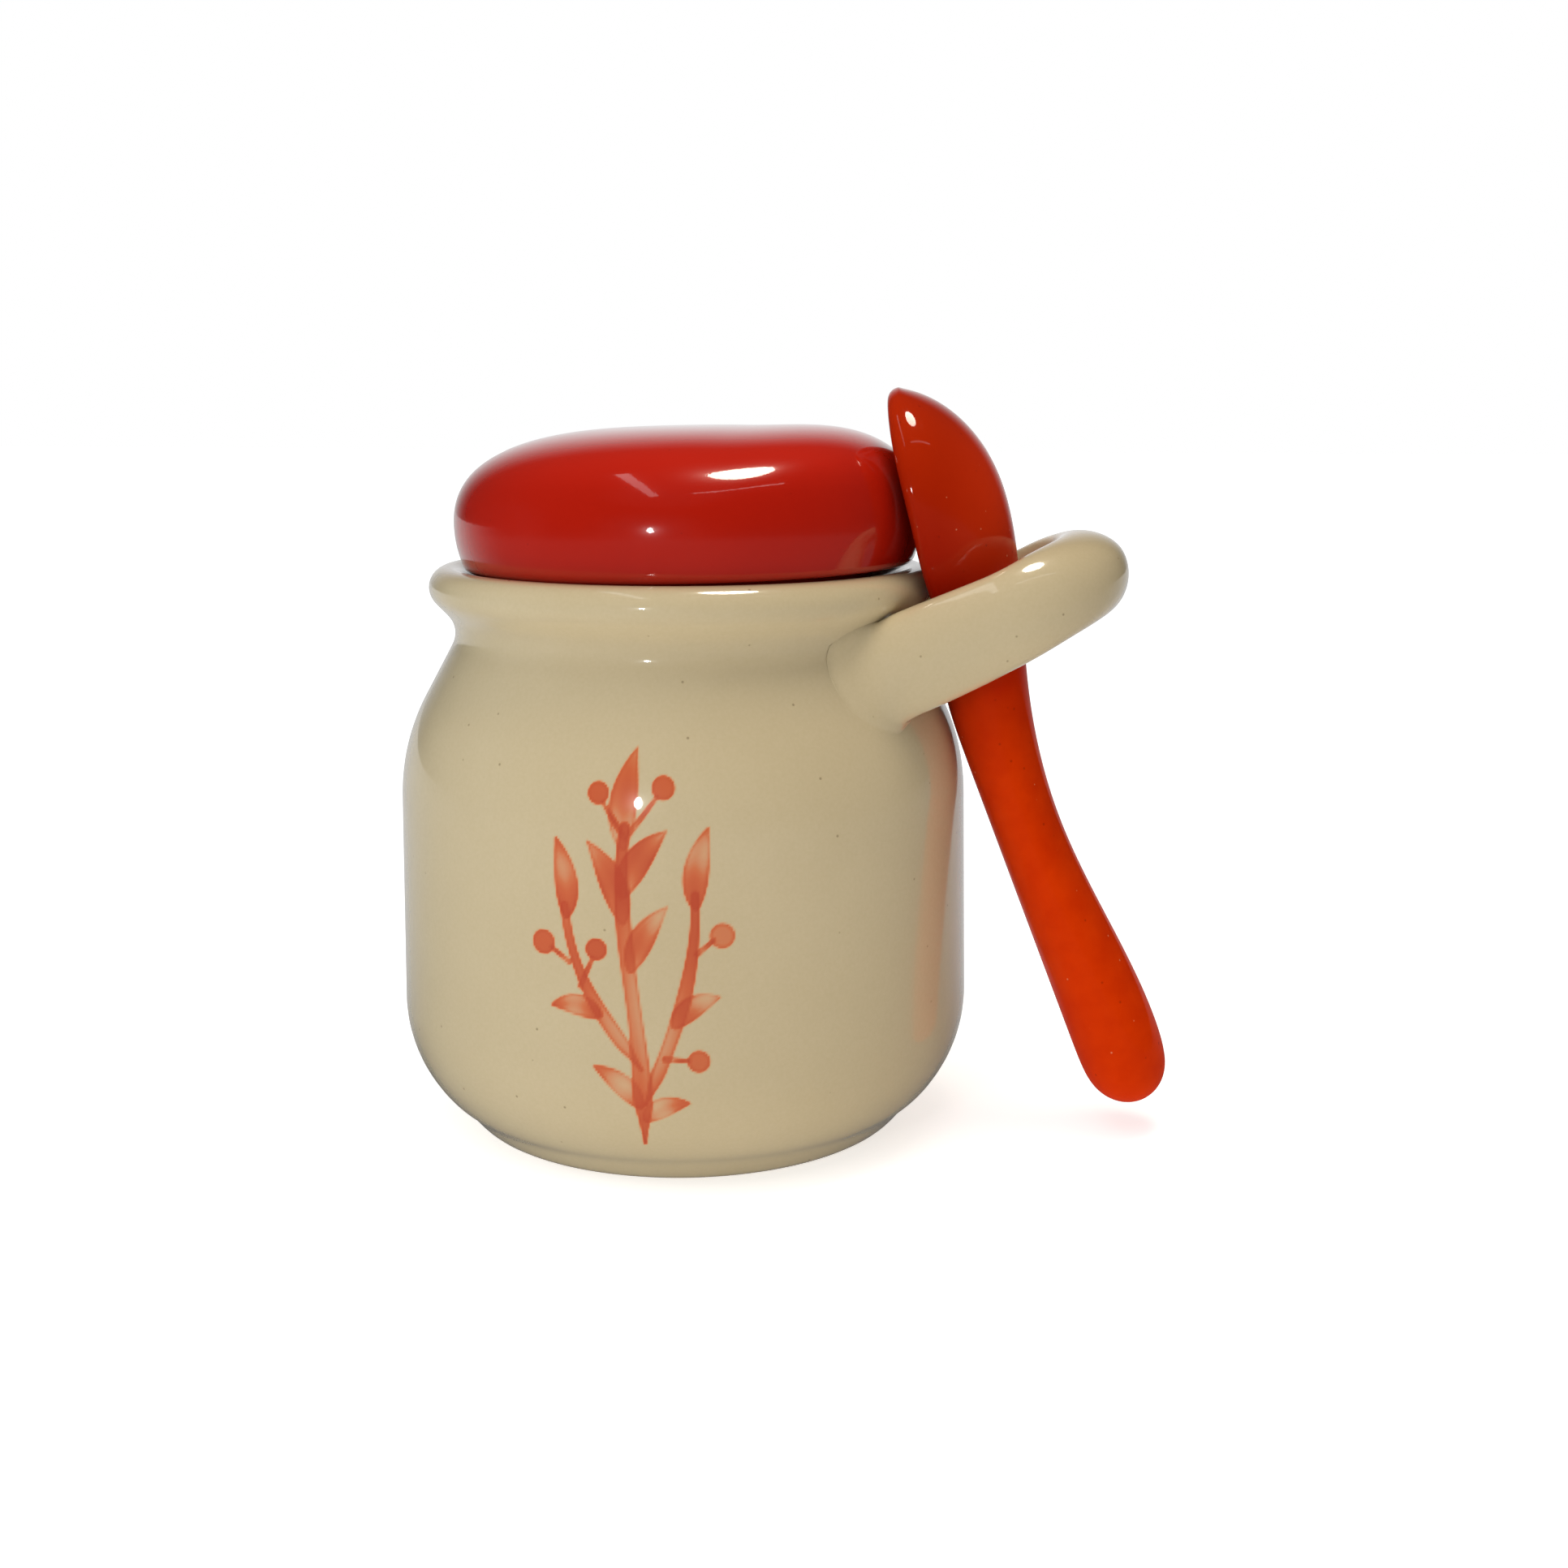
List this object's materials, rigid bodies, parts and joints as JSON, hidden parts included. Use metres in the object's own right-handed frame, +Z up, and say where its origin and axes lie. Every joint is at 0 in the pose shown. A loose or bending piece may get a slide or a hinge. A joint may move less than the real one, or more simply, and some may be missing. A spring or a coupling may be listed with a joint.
{
  "type": "jam pot",
  "caption": "Rounded glazed jam pot with a bun-shaped lift-off lid, a strap loop on its neck, and a deep-bowled spoon that hangs in the loop and leans on the pot's shoulder.",
  "frame": {"origin": "centre of the foot ring, on the table", "axes": "+Z up along the pot's axis, +X out along the strap loop, -Y the front with the painted sprig"},
  "size_m": [0.1157, 0.0852, 0.1092],
  "materials": {
    "cream_glaze": "glossy clear glaze over a cream body, fine specks",
    "red_glaze": "glossy opaque red glaze",
    "orange_red_glaze": "glossy orange-red glaze, thinner and darker on edges"
  },
  "bodies": {
    "pot": {"pot_body": "cream_glaze", "spoon_loop": "cream_glaze"},
    "lid": {"lid": "red_glaze"},
    "spoon": {"spoon": "orange_red_glaze"}
  },
  "joints": [
    {"name": "lid_lift", "type": "slide", "parent": "pot", "child": "lid", "axis": [-0.4067, 0, 0.9135], "range_m": [0, 0.06]},
    {"name": "spoon_draw", "type": "hinge", "parent": "pot", "child": "spoon", "pos_m": [0.175, 0, 0.078], "axis": [0, 1, 0], "range_deg": [0, 41.5]}
  ]
}
